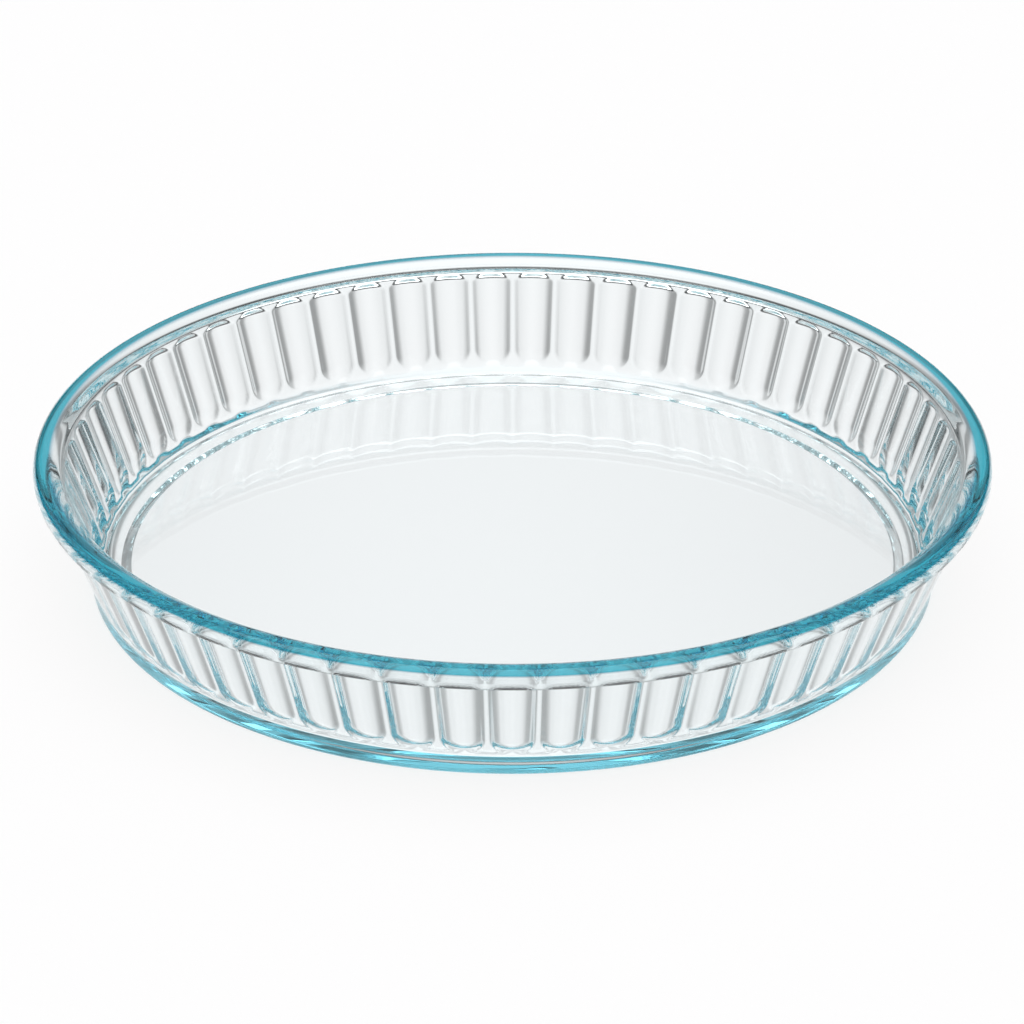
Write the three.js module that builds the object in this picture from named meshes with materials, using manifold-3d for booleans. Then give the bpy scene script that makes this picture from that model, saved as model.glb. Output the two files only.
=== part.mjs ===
// Glass flan dish: one pressing of clear glass with a flat floor, a flared wall and a thick round rim.
// The wall is smooth outside. Inside it carries a ring of round ended flutes that shape the pastry's edge.
// Millimetres, +Z up, origin at the middle of the face that the dish stands on.

import * as THREE from 'three';
import { mergeVertices } from 'three/addons/utils/BufferGeometryUtils.js';
import Module from 'manifold-3d';

// Overall sizes
const RIM_DIAMETER = 280;
const BASE_DIAMETER = 250;
const DISH_HEIGHT = 40;

// Floor and foot
const FLOOR_THICKNESS = 3.8;
const FOOT_HEIGHT = 0.8;
const FOOT_WIDTH = 8.8;
const FOOT_SLOPE = 3;
const BASE_EDGE_RADIUS = 1.5;
const BASE_BAND_HEIGHT = 4.5;

// Wall, measured at the ridges between the flutes, at the base band and at the top of the rim
const WALL_THICKNESS_LOW = 3.9;
const WALL_THICKNESS_HIGH = 5.2;
const COVE_RADIUS = 4.5;

// Rim
const RIM_THICKNESS = 6.2;
const RIM_OVERHANG = 4.2;
const RIM_EDGE_RADIUS = 3;
const RIM_EDGE_MOST = 0.49; // share of the rim's thickness that one edge may round
const RIM_INNER_RADIUS = 4.2;
const RIM_UNDERCUT_RADIUS = 1.2;

// Flutes
const FLUTE_COUNT = 59;
const FLUTE_DEPTH = 1.7;
const RIDGE_WIDTH = 1;
const FLUTE_FLOOR_GAP = 2;
const FLUTE_RIM_GAP = 4.8;
const FLUTE_FOOT_ROUND = 5.8;
const FLUTE_HEAD_ROUND = 2.2;
const FLUTE_BACKING = 1; // how far the bar that presses a flute stands proud of the wall

// Facets
const SEGMENTS_PER_FLUTE = 2;
const ARC_STEP = THREE.MathUtils.degToRad(45);
const FLUTE_SIDES = 24;
const FLUTE_END_STEPS = 4;

const wasm = await Module();
wasm.setup();

const rimRadius = RIM_DIAMETER / 2;
const baseRadius = BASE_DIAMETER / 2;
const floorTop = FOOT_HEIGHT + FLOOR_THICKNESS;
const rimUnderside = DISH_HEIGHT - RIM_THICKNESS;

// The outer wall is a straight line from the top of the base band to the underside of the rim.
const wallFoot = new THREE.Vector2(baseRadius, BASE_BAND_HEIGHT);
const wallHead = new THREE.Vector2(rimRadius - RIM_OVERHANG, rimUnderside);
const flare = Math.atan2(wallHead.x - wallFoot.x, wallHead.y - wallFoot.y);
const innerRadiusAt = (height) => {
  const share = (height - wallFoot.y) / (DISH_HEIGHT - wallFoot.y);
  const thickness = THREE.MathUtils.lerp(WALL_THICKNESS_LOW, WALL_THICKNESS_HIGH, share);
  const outer = wallFoot.x + (height - wallFoot.y) * Math.tan(flare);
  return outer - thickness / Math.cos(flare);
};
const innerRun = innerRadiusAt(DISH_HEIGHT) - innerRadiusAt(floorTop);
const innerFlare = Math.atan2(innerRun, DISH_HEIGHT - floorTop);

// Points along an outline whose inner corners are rounded.
// A corner is [radius from the axis, height, rounding].
function roundedOutline(corners) {
  const points = [];
  corners.forEach(([radius, height, rounding], index) => {
    const corner = new THREE.Vector2(radius, height);
    if (!rounding) {
      points.push(corner);
      return;
    }
    const [before, after] = [corners[index - 1], corners[index + 1]].map(
      ([x, y]) => new THREE.Vector2(x, y).sub(corner).normalize(),
    );
    const halfAngle = Math.acos(before.dot(after)) / 2;
    const middle = before.clone().add(after).normalize();
    const centre = corner.clone().addScaledVector(middle, rounding / Math.sin(halfAngle));
    const start = corner.clone().addScaledVector(before, rounding / Math.tan(halfAngle));
    const turn = (Math.PI - 2 * halfAngle) * Math.sign(after.cross(before));
    const steps = Math.max(1, Math.round(Math.abs(turn) / ARC_STEP));
    for (let step = 0; step <= steps; step += 1) {
      points.push(start.clone().rotateAround(centre, (turn * step) / steps));
    }
  });
  return points;
}

// A closed solid from a lathe: shared vertices merged, and no triangle left without area at the axis.
function latheGeometry(outline, segments) {
  const lathe = new THREE.LatheGeometry(outline, segments);
  lathe.deleteAttribute('normal');
  lathe.deleteAttribute('uv');
  const merged = mergeVertices(lathe);
  const corners = Array.from(merged.index.array);
  const kept = [];
  for (let first = 0; first < corners.length; first += 3) {
    const [a, b, c] = corners.slice(first, first + 3);
    if (a !== b && b !== c && c !== a) {
      kept.push(a, b, c);
    }
  }
  merged.setIndex(kept);
  return merged;
}

function toSolid(geometry) {
  return new wasm.Manifold(new wasm.Mesh({
    numProp: 3,
    vertProperties: new Float32Array(geometry.attributes.position.array),
    triVerts: new Uint32Array(geometry.index.array),
  }));
}

function toGeometry(solid) {
  const { vertProperties, triVerts } = solid.getMesh();
  const geometry = new THREE.BufferGeometry();
  geometry.setAttribute('position', new THREE.BufferAttribute(vertProperties, 3));
  geometry.setIndex(new THREE.BufferAttribute(triVerts, 1));
  geometry.computeVertexNormals();
  return geometry;
}

// The plain dish, from the middle of the floor over the rim to the middle of the underside.
function plainDish() {
  const rimEdge = Math.min(RIM_EDGE_RADIUS, RIM_EDGE_MOST * RIM_THICKNESS);
  const footRadius = baseRadius - FOOT_WIDTH;
  const outline = roundedOutline([
    [0, floorTop, 0],
    [innerRadiusAt(floorTop), floorTop, COVE_RADIUS],
    [innerRadiusAt(DISH_HEIGHT), DISH_HEIGHT, RIM_INNER_RADIUS],
    [rimRadius, DISH_HEIGHT, rimEdge],
    [rimRadius, rimUnderside, rimEdge],
    [wallHead.x, wallHead.y, RIM_UNDERCUT_RADIUS],
    [wallFoot.x, wallFoot.y, 0],
    [baseRadius, 0, BASE_EDGE_RADIUS],
    [footRadius, 0, 0],
    [footRadius - FOOT_SLOPE, FOOT_HEIGHT, 0],
    [0, FOOT_HEIGHT, 0],
  ]);
  const geometry = latheGeometry(outline.reverse(), FLUTE_COUNT * SEGMENTS_PER_FLUTE);
  return geometry.rotateX(Math.PI / 2);
}

// The side of the round bar that would press one flute. Its outermost line runs along the wall at the flute's
// depth, it widens with the wall, and its ends are rounded so that the flute fades out above the floor and
// below the rim. Only a shallow slice of the bar is kept, so that it can't reach into the floor.
function fluteBar() {
  const lowHeight = floorTop + FLUTE_FLOOR_GAP;
  const highHeight = DISH_HEIGHT - FLUTE_RIM_GAP;
  const length = (highHeight - lowHeight) / Math.cos(innerFlare);
  const barRadiusAt = (height) => {
    const halfWidth = innerRadiusAt(height) * Math.tan(Math.PI / FLUTE_COUNT) - RIDGE_WIDTH / 2;
    return (halfWidth ** 2 + FLUTE_DEPTH ** 2) / (2 * FLUTE_DEPTH);
  };
  const lowRadius = barRadiusAt(lowHeight);
  const highRadius = barRadiusAt(highHeight);
  const endLength = (round, radius) => round / Math.sqrt(1 - (1 - FLUTE_DEPTH / radius) ** 2);
  const lowEnd = endLength(FLUTE_FOOT_ROUND, lowRadius);
  const highEnd = endLength(FLUTE_HEAD_ROUND, highRadius);

  const outline = [];
  for (let step = 0; step <= FLUTE_END_STEPS; step += 1) {
    const turn = (Math.PI / 2) * (step / FLUTE_END_STEPS);
    const along = FLUTE_FOOT_ROUND - lowEnd * Math.cos(turn);
    outline.push(new THREE.Vector2(lowRadius * Math.sin(turn), along));
  }
  for (let step = 0; step <= FLUTE_END_STEPS; step += 1) {
    const turn = (Math.PI / 2) * (step / FLUTE_END_STEPS);
    const along = length - FLUTE_HEAD_ROUND + highEnd * Math.sin(turn);
    outline.push(new THREE.Vector2(highRadius * Math.cos(turn), along));
  }
  outline[0].x = 0;
  outline[outline.length - 1].x = 0;

  const straight = length - FLUTE_FOOT_ROUND - FLUTE_HEAD_ROUND;
  const lean = (highRadius - lowRadius) / straight;
  const axisAtFoot = FLUTE_DEPTH - lowRadius + lean * FLUTE_FOOT_ROUND;
  const shear = new THREE.Matrix4().makeShear(0, 0, -lean, 0, 0, 0);
  const bar = latheGeometry(outline, FLUTE_SIDES).applyMatrix4(shear).translate(axisAtFoot, 0, 0);
  return toSolid(bar)
    .trimByPlane([1, 0, 0], -FLUTE_BACKING)
    .rotate([90, THREE.MathUtils.radToDeg(innerFlare), 0])
    .translate([innerRadiusAt(lowHeight), 0, lowHeight]);
}

function flutedDish() {
  const bar = fluteBar();
  let dish = toSolid(plainDish());
  for (let flute = 0; flute < FLUTE_COUNT; flute += 1) {
    const bearing = (360 * flute) / FLUTE_COUNT - 90;
    dish = dish.subtract(bar.rotate([0, 0, bearing]));
  }
  return toGeometry(dish);
}

const clearGlass = new THREE.MeshStandardMaterial({
  color: 0xdcebee,
  roughness: 0.03,
  metalness: 0,
  transparent: true,
  opacity: 0.35,
});

const flanDish = new THREE.Mesh(flutedDish(), clearGlass);
flanDish.name = 'flan_dish';

const model = new THREE.Group();
model.add(flanDish);

export default model;
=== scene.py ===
"""Looks of a glass flan dish: one pressing of clear glass with a flared, fluted wall and a thick round rim.

The dish is turned from its section, fluted on the inside of the wall, and shown on a plain white table.
"""

import math

import bmesh
import bpy
from bpy.props import FloatProperty, FloatVectorProperty, IntProperty, PointerProperty
from mathutils import Matrix, Vector


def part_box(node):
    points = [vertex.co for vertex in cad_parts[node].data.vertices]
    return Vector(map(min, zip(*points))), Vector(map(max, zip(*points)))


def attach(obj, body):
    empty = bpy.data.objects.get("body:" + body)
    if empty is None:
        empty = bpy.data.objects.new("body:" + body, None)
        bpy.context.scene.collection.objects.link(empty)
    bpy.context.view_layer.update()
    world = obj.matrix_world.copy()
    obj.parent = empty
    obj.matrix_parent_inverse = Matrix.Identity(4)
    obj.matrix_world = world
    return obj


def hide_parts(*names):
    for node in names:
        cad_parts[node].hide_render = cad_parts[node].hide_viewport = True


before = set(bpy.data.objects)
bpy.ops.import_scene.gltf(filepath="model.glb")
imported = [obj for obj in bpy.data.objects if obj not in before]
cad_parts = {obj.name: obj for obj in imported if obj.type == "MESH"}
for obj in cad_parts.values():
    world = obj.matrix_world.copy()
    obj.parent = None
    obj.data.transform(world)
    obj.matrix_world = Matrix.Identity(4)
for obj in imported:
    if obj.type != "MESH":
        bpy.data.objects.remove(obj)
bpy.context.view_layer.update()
DISH_NODE = "flan_dish"
DISH_LOW, DISH_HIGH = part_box(DISH_NODE)

bl_info = {
    "name": "Glass flan dish",
    "version": (1, 0, 0),
    "blender": (4, 5, 0),
    "location": "View3D > Sidebar > Flan dish",
    "description": "Builds a fluted glass flan dish and the table it is shown on",
    "category": "Add Mesh",
}

# How finely the dish is divided
COLUMNS_PER_FLUTE = 18
FOOT_ROWS = 13
WALL_ROWS = 6
HEAD_ROWS = 11
OUTER_WALL_ROWS = 3
CORNER_SEGMENTS = 6
SMALL_CORNER_SEGMENTS = 2

# How strongly columns crowd towards a ridge
COLUMN_CROWDING = 1.35

# How far the fine rows of a flute's head reach, in shares of its rounding
HEAD_REACH = 1.6

# Lines of the section longer than the first length are cut at the second one from each end, in metres
LONG_LINE = 0.0024
SUPPORT_GAP = 0.0006

# Points nearer than this are joined, in metres
MERGE_DISTANCE = 1e-6

# How far outside and inside the wall's line a point may lie and still take a flute, in metres
WALL_SEARCH = 0.0005
COVE_SEARCH = 0.002

# Where the rim's deep tint lies, in shares of the rounding of its edge
TINT_START = 2.2
TINT_FULL = 1.5
TINT_DEPTH = 0.45

# Softness of a tint's edge, in metres
TINT_EDGE = 0.0003

# How often light may turn inside the glass
GLASS_BOUNCES = 64

# Sectors of the studio's light round the compass, and the dark bands between them by the sectors' cosine
LIGHT_SECTORS = 8.0
BAND_FAR = -1.0
BAND_FAR_EDGE = -0.92
BAND_NEAR_EDGE = -0.7
BAND_NEAR = 0.3

# Heights at which the studio's light changes, from -1 straight down to 1 straight up
STEEP_LOW = -0.57
STEEP_HIGH = -0.45
BELOW_LOW = -0.2
BELOW_HIGH = -0.05
HORIZON_LOW = 0.15
HORIZON_HIGH = 0.38
SECTORS_LOW = 0.6
SECTORS_HIGH = 0.7
PANEL_LOW = 0.8
PANEL_HIGH = 0.87


def length(name, description, default):
    """A size in metres that the user may change."""
    return FloatProperty(name=name, description=description, default=default, unit="LENGTH", precision=5)


def colour(name, description, default):
    """A colour that the user may change."""
    return FloatVectorProperty(
        name=name, description=description, default=default, subtype="COLOR", size=3, min=0, max=1
    )


def angle(name, description, default):
    """An angle in radians that the user may change."""
    return FloatProperty(name=name, description=description, default=default, subtype="ANGLE", precision=4)


def amount(name, description, default):
    """A plain number that the user may change."""
    return FloatProperty(name=name, description=description, default=default, precision=4)


class FlanDishShape(bpy.types.PropertyGroup):
    """Sizes of the dish's section and of its flutes"""

    rim_radius: length("Rim radius", "From the axis to the rim's outside", max(DISH_HIGH.x, DISH_HIGH.y))
    height: length("Height", "From the table to the top of the rim", DISH_HIGH.z - DISH_LOW.z)
    base_radius: length("Base radius", "From the axis to the outside of the base", 0.125)
    base_band: length("Base band", "Height of the upright band at the foot of the wall", 0.0045)
    base_edge: length("Base edge", "Rounding of the edge that the dish stands on", 0.0015)
    foot_width: length("Foot width", "Width of the ring that the dish stands on", 0.0088)
    foot_height: length("Foot height", "Height of the hollow under the floor", 0.0008)
    foot_slope: length("Foot slope", "Run of the slope inside the foot ring", 0.003)
    floor_thickness: length("Floor thickness", "Thickness of the flat floor", 0.0038)
    cove: length("Cove", "Rounding between the floor and the wall", 0.0045)
    wall_low: length("Wall at the foot", "Thickness of the wall at the ridges, low down", 0.0039)
    wall_high: length("Wall at the rim", "Thickness of the wall at the ridges, at the top", 0.0052)
    rim_thickness: length("Rim thickness", "Height of the rim's outer face", 0.0062)
    rim_overhang: length("Rim overhang", "How far the rim stands out beyond the wall", 0.0042)
    rim_edge: length("Rim edge", "Rounding of the rim's outer edges", 0.003)
    rim_lip: length("Rim lip", "Rounding of the rim's inner edge", 0.0042)
    rim_undercut: length("Rim undercut", "Rounding where the rim meets the outer wall", 0.0012)
    flute_count: IntProperty(name="Flutes", description="Flutes round the wall", default=59, min=3)
    flute_depth: length("Flute depth", "Depth of a flute along its middle", 0.0017)
    ridge_width: length("Ridge width", "Flat left between two flutes", 0.001)
    ridge_softness: length("Ridge softness", "How far a flute's edge is softened", 0.00025)
    flute_floor_gap: length("Flute above the floor", "Height from the floor to a flute's foot", 0.002)
    flute_rim_gap: length("Flute below the rim", "Height from a flute's head to the top of the rim", 0.0048)
    flute_foot: length("Flute foot", "Length over which a flute's foot rounds off", 0.0058)
    flute_head: length("Flute head", "Length over which a flute's head rounds off", 0.0022)


class FlanDishGlass(bpy.types.PropertyGroup):
    """Finish of the glass"""

    bend: amount("Refraction", "Index of refraction of the glass", 1.47)
    body_tint: colour("Body tint", "Colour the glass keeps after one unit of its depth", (0.0, 0.75, 0.87))
    body_depth: amount("Body depth", "How quickly the glass takes its tint, per metre", 6.2)
    clear: colour("Clear", "Tint at the surface of the plain glass", (1.0, 1.0, 1.0))
    rim_tint: colour("Rim tint", "Tint at the outer shoulder of the rim", (0.003, 0.22, 0.345))
    # Painted shade: a grey on the floor's underside that stands in for the table's shadow seen through the
    # glass
    floor_painted_shade: colour("Floor painted shade", "Painted shade of the table under the floor", (0.96, 0.963, 0.966))
    shade: colour("Shade", "Light that the glass lets through to the table", (0.98, 0.967, 0.963))
    ripple_scale: amount("Ripple scale", "Ripples of the pressed surface per metre", 60.0)
    ripple_height: length("Ripple height", "Height of the pressed surface's ripples", 0.00001)


class FlanDishStage(bpy.types.PropertyGroup):
    """Table, light and camera"""

    table_colour: colour("Table", "Colour of the table", (0.982, 0.969, 0.964))
    table_size: length("Table size", "Length of the table's sides", 30.0)
    table_drop: length("Table drop", "Gap between the dish and the table", 0.0002)
    light_colour: colour("Light colour", "Colour of the studio's light", (0.982, 0.993, 1.0))
    below_light: amount("Light below", "Light that the glass lets through from the table", 1.0)
    side_shade: amount("Side shade", "How far light falls off away from a sector's middle", 0.25)
    steep_shade: amount("Steep shade", "Share of the sectors' shade left steeply below the dish", 0.65)
    sector_gap: amount("Sector gap", "Light left in the dark bands between two sectors", 0.47)
    light_lean: angle("Light lean", "How far the sectors are turned to one side", 0.018)
    horizon_light: amount("Horizon light", "Light from the horizon", 0.04)
    sky_light: amount("Sky light", "Light from above", 0.6)
    panel_light: amount("Panel light", "Light added by the overhead panel", 1.745)
    camera_distance: length("Camera distance", "From the dish's axis to the camera, along the table", 0.910)
    camera_height: length("Camera height", "From the table to the camera", 0.48338)
    camera_pitch: angle("Camera pitch", "Angle below the horizon", math.radians(27.243))
    camera_lens: amount("Camera lens", "Focal length in millimetres", 121.17)
    camera_shift: amount("Camera shift", "Sideways shift of the picture", -0.0005)


class Signal:
    """One output of a node. An expression on signals adds its Math nodes to the same tree."""

    def __init__(self, bench, socket):
        self.bench = bench
        self.socket = socket

    def math(self, operation, *terms):
        return self.bench.add("ShaderNodeMath", {"operation": operation}, dict(enumerate(terms)))

    def __add__(self, other):
        return self.math("ADD", self, other)

    def __radd__(self, other):
        return self.math("ADD", other, self)

    def __sub__(self, other):
        return self.math("SUBTRACT", self, other)

    def __rsub__(self, other):
        return self.math("SUBTRACT", other, self)

    def __mul__(self, other):
        return self.math("MULTIPLY", self, other)

    def __rmul__(self, other):
        return self.math("MULTIPLY", other, self)

    def __pow__(self, other):
        return self.math("POWER", self, other)

    def larger(self, other):
        return self.math("MAXIMUM", self, other)

    def above(self, limit):
        return self.math("GREATER_THAN", self, limit)

    def cosine(self):
        return self.math("COSINE", self)

    def bearing(self, other):
        return self.math("ARCTAN2", self, other)

    def eased(self, low, high, first=0.0, last=1.0):
        """A soft step from first to last as the signal goes from low to high."""
        return self.bench.add(
            "ShaderNodeMapRange",
            {"interpolation_type": "SMOOTHSTEP"},
            {"Value": self, "From Min": low, "From Max": high, "To Min": first, "To Max": last},
        )


class Bench:
    """A node tree that is cleared and built up one node at a time."""

    def __init__(self, tree):
        self.tree = tree
        tree.nodes.clear()

    def node(self, kind, settings=None, inputs=None):
        made = self.tree.nodes.new(kind)
        for setting, value in (settings or {}).items():
            setattr(made, setting, value)
        for name, value in (inputs or {}).items():
            socket = self.socket(made.inputs, name)
            if isinstance(value, Signal):
                self.tree.links.new(value.socket, socket)
            else:
                socket.default_value = value
        return made

    def socket(self, sockets, name):
        """A socket by its place, or by its name among those that the node's settings leave in use."""
        if isinstance(name, int):
            return sockets[name]
        return next(socket for socket in sockets if socket.enabled and socket.name == name)

    def add(self, kind, settings=None, inputs=None, output=0):
        return Signal(self, self.socket(self.node(kind, settings, inputs).outputs, output))

    def axes(self, vector):
        """The three parts of a vector."""
        parts = self.node("ShaderNodeSeparateXYZ", inputs={0: vector})
        return [Signal(self, parts.outputs[axis]) for axis in "XYZ"]

    def mixed(self, share, first, second):
        """A colour that goes from the first to the second as the share goes from 0 to 1."""
        colours = {"Factor": share, "A": first, "B": second}
        return self.add("ShaderNodeMix", {"data_type": "RGBA"}, colours, "Result")


def opaque(rgb):
    """A colour with full alpha, as a colour socket takes it."""
    return (*rgb, 1.0)


def glass_material(finish, shape):
    """Clear pressed glass whose depth is blue-green, with a deep tint on the rim's outer shoulder and
    painted shade under the floor.
    """
    material = bpy.data.materials.new("clear_glass")
    material.use_nodes = True
    bench = Bench(material.node_tree)
    place = bench.add("ShaderNodeTexCoord", output="Object")
    across, along, up = bench.axes(place)
    radius = (across * across + along * along) ** 0.5

    tint_start = shape.rim_radius - TINT_START * shape.rim_edge
    tint_full = shape.rim_radius - TINT_FULL * shape.rim_edge
    top_low = shape.height - TINT_DEPTH * shape.rim_edge
    on_top = up.eased(top_low - TINT_EDGE, top_low + TINT_EDGE)
    # Light takes the rim's tint once, on its way into the glass.
    leaving = bench.add("ShaderNodeNewGeometry", output="Backfacing")
    shoulder = radius.eased(tint_start, tint_full) * on_top * (1.0 - leaving)
    tint = bench.mixed(shoulder, opaque(finish.clear), opaque(finish.rim_tint))
    # Painted shade: the underside of the floor is tinted grey in place of the table's shadow seen through
    # the glass.
    floor_edge = shape.base_radius - shape.foot_width - shape.foot_slope
    low_down = 1.0 - up.above(2 * shape.foot_height)
    under_floor_shade = radius.eased(floor_edge - TINT_EDGE, floor_edge, 1.0, 0.0) * low_down
    tint = bench.mixed(under_floor_shade, tint, opaque(finish.floor_painted_shade))
    ripple = bench.add(
        "ShaderNodeTexNoise", inputs={"Vector": place, "Scale": finish.ripple_scale, "Detail": 1.0}
    )
    surface = bench.add(
        "ShaderNodeBump", inputs={"Strength": 1.0, "Distance": finish.ripple_height, "Height": ripple}
    )
    glass = bench.add(
        "ShaderNodeBsdfPrincipled",
        inputs={
            "Base Color": tint,
            "Roughness": 0.0,
            "IOR": finish.bend,
            "Transmission Weight": 1.0,
            "Normal": surface,
        },
    )
    lamp_ray = bench.add("ShaderNodeLightPath", output="Is Shadow Ray")
    table_ray = bench.add("ShaderNodeLightPath", output="Is Diffuse Ray")
    let_through = bench.add("ShaderNodeBsdfTransparent", inputs={"Color": opaque(finish.shade)})
    outside = bench.add(
        "ShaderNodeMixShader", inputs={0: lamp_ray.larger(table_ray), 1: glass, 2: let_through}
    )
    depth = bench.add(
        "ShaderNodeVolumeAbsorption",
        inputs={"Color": opaque(finish.body_tint), "Density": finish.body_depth},
    )
    bench.node("ShaderNodeOutputMaterial", inputs={"Surface": outside, "Volume": depth})
    return material


class DishSection:
    """Lines that the dish's section and flutes follow, worked out from the named sizes."""

    def __init__(self, shape):
        self.shape = shape
        self.floor_top = shape.foot_height + shape.floor_thickness
        self.rim_under = shape.height - shape.rim_thickness
        self.wall_foot = Vector((shape.base_radius, shape.base_band))
        self.wall_head = Vector((shape.rim_radius - shape.rim_overhang, self.rim_under))
        run = self.wall_head - self.wall_foot
        self.flare = math.atan2(run.x, run.y)
        self.flute_low = self.on_wall(self.floor_top + shape.flute_floor_gap)
        self.flute_high = self.on_wall(shape.height - shape.flute_rim_gap)
        line = self.flute_high - self.flute_low
        self.flute_length = line.length
        self.rise = line.normalized()
        self.out = Vector((self.rise.y, -self.rise.x))
        self.pitch = 2 * math.pi / shape.flute_count
        self.low_bar = self.bar_radius(self.flute_low.x)
        self.high_bar = self.bar_radius(self.flute_high.x)
        self.foot_run = self.end_run(shape.flute_foot, self.low_bar)
        self.head_run = self.end_run(shape.flute_head, self.high_bar)

    def on_wall(self, height):
        """The point of the inner wall, at the ridges, at a height."""
        share = (height - self.wall_foot.y) / (self.shape.height - self.wall_foot.y)
        thickness = self.shape.wall_low + (self.shape.wall_high - self.shape.wall_low) * share
        outer = self.wall_foot.x + (height - self.wall_foot.y) * math.tan(self.flare)
        return Vector((outer - thickness / math.cos(self.flare), height))

    def bar_radius(self, radius):
        """Radius of the round bar that would press a full flute at this radius of the dish."""
        half = radius * math.tan(self.pitch / 2) - self.shape.ridge_width / 2
        depth = self.shape.flute_depth
        return (half * half + depth * depth) / (2 * depth)

    def end_run(self, rounding, bar):
        """Half length of the rounded end of a bar that fades out over the given rounding."""
        return rounding / math.sqrt(1 - (1 - self.shape.flute_depth / bar) ** 2)

    def corners(self):
        """Corners of the section, from the floor's middle over the rim to the underside's middle.

        A corner is its radius, its height, its rounding and the number of steps in the rounding.
        """
        shape = self.shape
        foot_radius = shape.base_radius - shape.foot_width
        hollow_radius = foot_radius - shape.foot_slope
        floor_edge = self.on_wall(self.floor_top)
        lip = self.on_wall(shape.height)
        return [
            (0.0, self.floor_top, 0.0, 0),
            (floor_edge.x, self.floor_top, shape.cove, CORNER_SEGMENTS),
            (lip.x, shape.height, shape.rim_lip, CORNER_SEGMENTS),
            (shape.rim_radius, shape.height, shape.rim_edge, CORNER_SEGMENTS),
            (shape.rim_radius, self.rim_under, shape.rim_edge, CORNER_SEGMENTS),
            (self.wall_head.x, self.wall_head.y, shape.rim_undercut, CORNER_SEGMENTS),
            (self.wall_foot.x, self.wall_foot.y, 0.0, 0),
            (shape.base_radius, 0.0, shape.base_edge, CORNER_SEGMENTS),
            (foot_radius, 0.0, shape.foot_height / 2, SMALL_CORNER_SEGMENTS),
            (hollow_radius, shape.foot_height, shape.foot_height / 2, SMALL_CORNER_SEGMENTS),
            (0.0, shape.foot_height, 0.0, 0),
        ]

    def flute_offset(self, sideways, along, inset):
        """How far a flute moves a point outwards.

        The point lies sideways of the flute's middle, along it from its foot and inset from the wall.
        """
        shape = self.shape
        straight = self.flute_length - shape.flute_foot - shape.flute_head
        share = min(max((along - shape.flute_foot) / straight, 0.0), 1.0)
        bar = self.low_bar + (self.high_bar - self.low_bar) * share
        fade = 0.0
        if along < shape.flute_foot:
            fade = (shape.flute_foot - along) / self.foot_run
        elif along > self.flute_length - shape.flute_head:
            fade = (along - self.flute_length + shape.flute_head) / self.head_run
        room = bar * bar * (1 - fade * fade) - sideways * sideways
        if room <= 0:
            return 0.0
        cut = math.sqrt(room) - (bar - shape.flute_depth) + inset
        soft = shape.ridge_softness
        if cut >= soft:
            return cut
        if cut <= -soft:
            return 0.0
        return (cut + soft) ** 2 / (4 * soft)


def section_wire(mesh, section):
    """Draws the section as a wire at the start of one flute's pitch and rounds its corners."""
    turn = Matrix.Rotation(-math.pi / 2 - section.pitch / 2, 4, "Z")
    corners = section.corners()
    points = [mesh.verts.new(turn @ Vector((radius, 0.0, height))) for radius, height, _, _ in corners]
    for first, second in zip(points, points[1:]):
        mesh.edges.new((first, second))
    for index, (_, _, rounding, segments) in enumerate(corners):
        if not rounding:
            continue
        here = Vector(corners[index][:2])
        before = Vector(corners[index - 1][:2]) - here
        after = Vector(corners[index + 1][:2]) - here
        reach = rounding / math.tan(before.angle(after) / 2)
        bmesh.ops.bevel(
            mesh,
            geom=[points[index]],
            affect="VERTICES",
            offset=reach,
            offset_type="OFFSET",
            segments=segments,
            profile=0.5,
            material=-1,
        )


def radius_of(point):
    """Distance of a point from the dish's axis."""
    return math.hypot(point.x, point.y)


def wall_place(section, point):
    """Where a point lies by the inner wall's line: how far along a flute, and how far inside the line."""
    offset = Vector((radius_of(point), point.z)) - section.flute_low
    return offset.dot(section.rise), -offset.dot(section.out)


def cut_line(edge, start, shares):
    """Cuts an edge at shares of its length, counted from one of its ends."""
    done = 0.0
    for share in shares:
        far = edge.other_vert(start)
        _, start = bmesh.utils.edge_split(edge, start, (share - done) / (1 - done))
        edge = next(part for part in start.link_edges if far in part.verts)
        done = share


def even_shares(first, last, rows):
    """Shares that split the stretch from first to last into equal rows, with the last one left out."""
    return [first + (last - first) * row / rows for row in range(rows)]


def wall_shares(section, low, high):
    """Where the inner wall's line is cut: fine rows by a flute's foot and head, coarser ones between."""
    shape = section.shape
    start, _ = wall_place(section, low)
    end, _ = wall_place(section, high)
    foot = (shape.flute_foot - start) / (end - start)
    head = (section.flute_length - HEAD_REACH * shape.flute_head - start) / (end - start)
    shares = even_shares(0.0, foot, FOOT_ROWS) + even_shares(foot, head, WALL_ROWS)
    return shares[1:] + even_shares(head, 1.0, HEAD_ROWS)


def divide_section(mesh, section):
    """Cuts the long lines of the section into the rows that the flutes and the smooth shading need."""
    long_lines = [edge for edge in mesh.edges if edge.calc_length() > LONG_LINE]
    for edge in long_lines:
        low, high = sorted(edge.verts, key=lambda vert: (vert.co.z, radius_of(vert.co)))
        along, inset = wall_place(section, (low.co + high.co) / 2)
        if abs(inset) < WALL_SEARCH and 0 < along < section.flute_length:
            cut_line(edge, low, wall_shares(section, low.co, high.co))
            continue
        support = SUPPORT_GAP / edge.calc_length()
        steep = high.co.z - low.co.z > section.shape.height / 2
        rows = OUTER_WALL_ROWS if steep else 1
        cut_line(edge, low, even_shares(support, 1 - support, rows) + [1 - support])


def crowd_columns(mesh, section):
    """Moves the columns of one pitch towards its ends, where the ridges turn sharply."""
    half = section.pitch / 2
    for vert in mesh.verts:
        if radius_of(vert.co) < MERGE_DISTANCE:
            continue
        angle = math.atan2(vert.co.x, -vert.co.y)
        share = min(abs(angle) / half, 1.0)
        moved = math.copysign(1 - (1 - share) ** COLUMN_CROWDING, angle) * half
        vert.co = Matrix.Rotation(moved - angle, 4, "Z") @ vert.co


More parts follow.
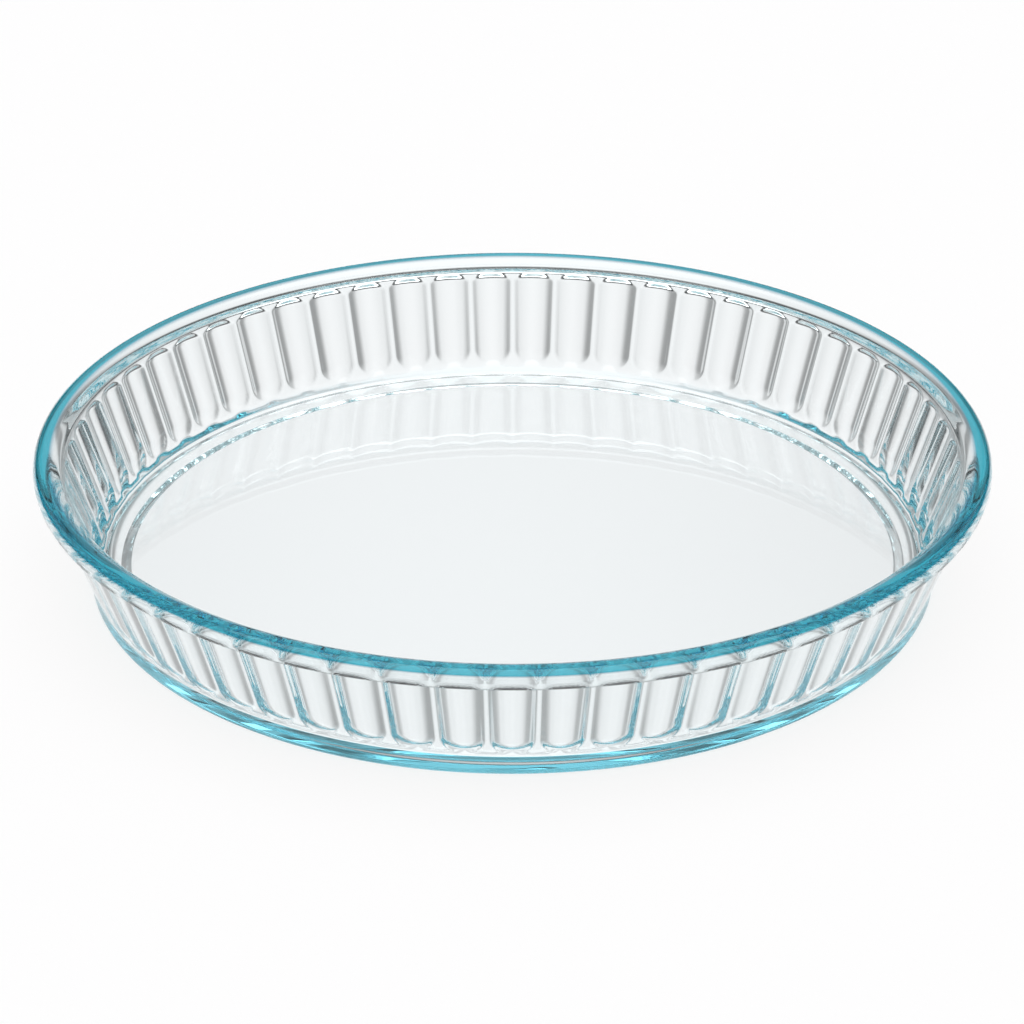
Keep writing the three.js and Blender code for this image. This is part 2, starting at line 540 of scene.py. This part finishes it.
def press_flute(mesh, section):
    """Presses one flute into the inner wall of a single pitch."""
    for vert in mesh.verts:
        along, inset = wall_place(section, vert.co)
        if not (0 < along < section.flute_length and -WALL_SEARCH < inset < COVE_SEARCH):
            continue
        shift = section.flute_offset(vert.co.x, along, inset)
        radius = radius_of(vert.co)
        scale = (radius + section.out.x * shift) / radius
        vert.co = Vector((vert.co.x * scale, vert.co.y * scale, vert.co.z + section.out.y * shift))


def mesh_data(mesh, name):
    """Mesh data from an edit mesh, which is freed."""
    made = bpy.data.meshes.new(name)
    mesh.to_mesh(made)
    mesh.free()
    return made


def placed(scene, name, data):
    """A new object in the scene."""
    made = bpy.data.objects.new(name, data)
    scene.collection.objects.link(made)
    return made


def dish_mesh(shape):
    """The whole dish: one pitch spun from the section and fluted, then repeated round the axis."""
    section = DishSection(shape)
    mesh = bmesh.new()
    section_wire(mesh, section)
    divide_section(mesh, section)
    axis = {"cent": (0, 0, 0), "axis": (0, 0, 1), "dvec": (0, 0, 0)}
    bmesh.ops.spin(
        mesh, geom=mesh.verts[:] + mesh.edges[:], angle=section.pitch, steps=COLUMNS_PER_FLUTE, **axis
    )
    crowd_columns(mesh, section)
    press_flute(mesh, section)
    repeats = shape.flute_count - 1
    bmesh.ops.spin(
        mesh,
        geom=mesh.verts[:] + mesh.edges[:] + mesh.faces[:],
        angle=section.pitch * repeats,
        steps=repeats,
        use_duplicate=True,
        **axis,
    )
    bmesh.ops.remove_doubles(mesh, verts=mesh.verts[:], dist=MERGE_DISTANCE)
    bmesh.ops.recalc_face_normals(mesh, faces=mesh.faces[:])
    for face in mesh.faces:
        face.smooth = True
    return mesh_data(mesh, "flan_dish_glass")


class OBJECT_OT_flan_dish_glass(bpy.types.Operator):
    """Build the glass dish in place of the plain solid"""

    bl_idname = "object.flan_dish_glass"
    bl_label = "Glass dish"

    def execute(self, context):
        shape = context.scene.flan_dish_shape
        dish = placed(context.scene, "flan_dish_glass", dish_mesh(shape))
        dish.data.materials.append(glass_material(context.scene.flan_dish_glass, shape))
        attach(dish, "root")
        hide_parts(DISH_NODE)
        return {"FINISHED"}


def table_material(stage):
    """Matt white table. A ray that comes through the glass sees the studio's light from below instead."""
    material = bpy.data.materials.new("white_table")
    material.use_nodes = True
    bench = Bench(material.node_tree)
    matt = bench.add(
        "ShaderNodeBsdfPrincipled",
        inputs={"Base Color": opaque(stage.table_colour), "Roughness": 1.0, "Specular IOR Level": 0.0},
    )
    through_glass = bench.add("ShaderNodeLightPath", output="Is Transmission Ray")
    open_table = bench.add("ShaderNodeBsdfTransparent")
    surface = bench.add("ShaderNodeMixShader", inputs={0: through_glass, 1: matt, 2: open_table})
    bench.node("ShaderNodeOutputMaterial", inputs={"Surface": surface})
    return material


def studio_world(stage):
    """Cool white light in sectors round the compass, dark at the horizon and brightest overhead."""
    world = bpy.data.worlds.new("white_studio")
    world.use_nodes = True
    bench = Bench(world.node_tree)
    direction = bench.add("ShaderNodeTexCoord", output="Generated")
    across, along, up = bench.axes(direction)
    turn = across.bearing(along) * LIGHT_SECTORS + stage.light_lean * LIGHT_SECTORS
    sectors = turn.cosine()
    beside = 1.0 - (1.0 - sectors) * (stage.side_shade / 2)
    band = sectors.eased(BAND_FAR, BAND_FAR_EDGE) * sectors.eased(BAND_NEAR_EDGE, BAND_NEAR, 1.0, 0.0)
    beside = beside * (1.0 - band * (1.0 - stage.sector_gap))
    steep = up.eased(STEEP_LOW, STEEP_HIGH, stage.steep_shade, 1.0)
    beside_below = 1.0 - steep * (1.0 - beside)
    below = stage.below_light * beside_below * up.eased(BELOW_LOW, BELOW_HIGH, 1.0, stage.horizon_light)
    sky = up.eased(HORIZON_LOW, HORIZON_HIGH, stage.horizon_light, stage.sky_light)
    low_sky = up.eased(SECTORS_LOW, SECTORS_HIGH, 1.0, 0.0)
    beside_above = 1.0 - low_sky * (1.0 - beside)
    overhead = sky * beside_above + up.eased(PANEL_LOW, PANEL_HIGH, 0.0, stage.panel_light)
    is_up = up.above(0.0)
    light = overhead * is_up + below * (1.0 - is_up)
    glow = bench.add(
        "ShaderNodeBackground", inputs={"Color": opaque(stage.light_colour), "Strength": light}
    )
    bench.node("ShaderNodeOutputWorld", inputs={"Surface": glow})
    return world


class SCENE_OT_flan_dish_stage(bpy.types.Operator):
    """Lay the table, light it and set the camera"""

    bl_idname = "scene.flan_dish_stage"
    bl_label = "Table, light and camera"

    def execute(self, context):
        scene = context.scene
        stage = scene.flan_dish_stage
        mesh = bmesh.new()
        bmesh.ops.create_grid(mesh, x_segments=1, y_segments=1, size=stage.table_size / 2)
        bmesh.ops.translate(mesh, verts=mesh.verts[:], vec=(0, 0, -stage.table_drop))
        table = placed(scene, "white_table", mesh_data(mesh, "white_table"))
        table.data.materials.append(table_material(stage))
        scene.world = studio_world(stage)

        lens = bpy.data.cameras.new("camera")
        camera = placed(scene, "camera", lens)
        camera.location = (0, -stage.camera_distance, stage.camera_height)
        camera.rotation_euler = (math.pi / 2 - stage.camera_pitch, 0, 0)
        lens.lens = stage.camera_lens
        lens.shift_x = stage.camera_shift
        scene.camera = camera

        scene.view_settings.view_transform = "Standard"
        scene.cycles.blur_glossy = 0.0
        scene.cycles.max_bounces = GLASS_BOUNCES
        scene.cycles.transmission_bounces = GLASS_BOUNCES
        scene.cycles.glossy_bounces = GLASS_BOUNCES
        return {"FINISHED"}


class VIEW3D_PT_flan_dish(bpy.types.Panel):
    """Panel that lists the dish's sizes, its glass and its stage"""

    bl_label = "Flan dish"
    bl_idname = "VIEW3D_PT_flan_dish"
    bl_space_type = "VIEW_3D"
    bl_region_type = "UI"
    bl_category = "Flan dish"

    def draw(self, context):
        scene = context.scene
        groups = (scene.flan_dish_shape, scene.flan_dish_glass, scene.flan_dish_stage)
        self.layout.operator(OBJECT_OT_flan_dish_glass.bl_idname)
        self.layout.operator(SCENE_OT_flan_dish_stage.bl_idname)
        for group in groups:
            box = self.layout.box()
            for name in group.__annotations__:
                box.prop(group, name)


CLASSES = (
    FlanDishShape,
    FlanDishGlass,
    FlanDishStage,
    OBJECT_OT_flan_dish_glass,
    SCENE_OT_flan_dish_stage,
    VIEW3D_PT_flan_dish,
)


def register():
    for made in CLASSES:
        bpy.utils.register_class(made)
    bpy.types.Scene.flan_dish_shape = PointerProperty(type=FlanDishShape)
    bpy.types.Scene.flan_dish_glass = PointerProperty(type=FlanDishGlass)
    bpy.types.Scene.flan_dish_stage = PointerProperty(type=FlanDishStage)


def unregister():
    del bpy.types.Scene.flan_dish_stage
    del bpy.types.Scene.flan_dish_glass
    del bpy.types.Scene.flan_dish_shape
    for made in reversed(CLASSES):
        bpy.utils.unregister_class(made)


def main():
    register()
    bpy.ops.object.flan_dish_glass()
    bpy.ops.scene.flan_dish_stage()


if __name__ == "__main__":
    main()
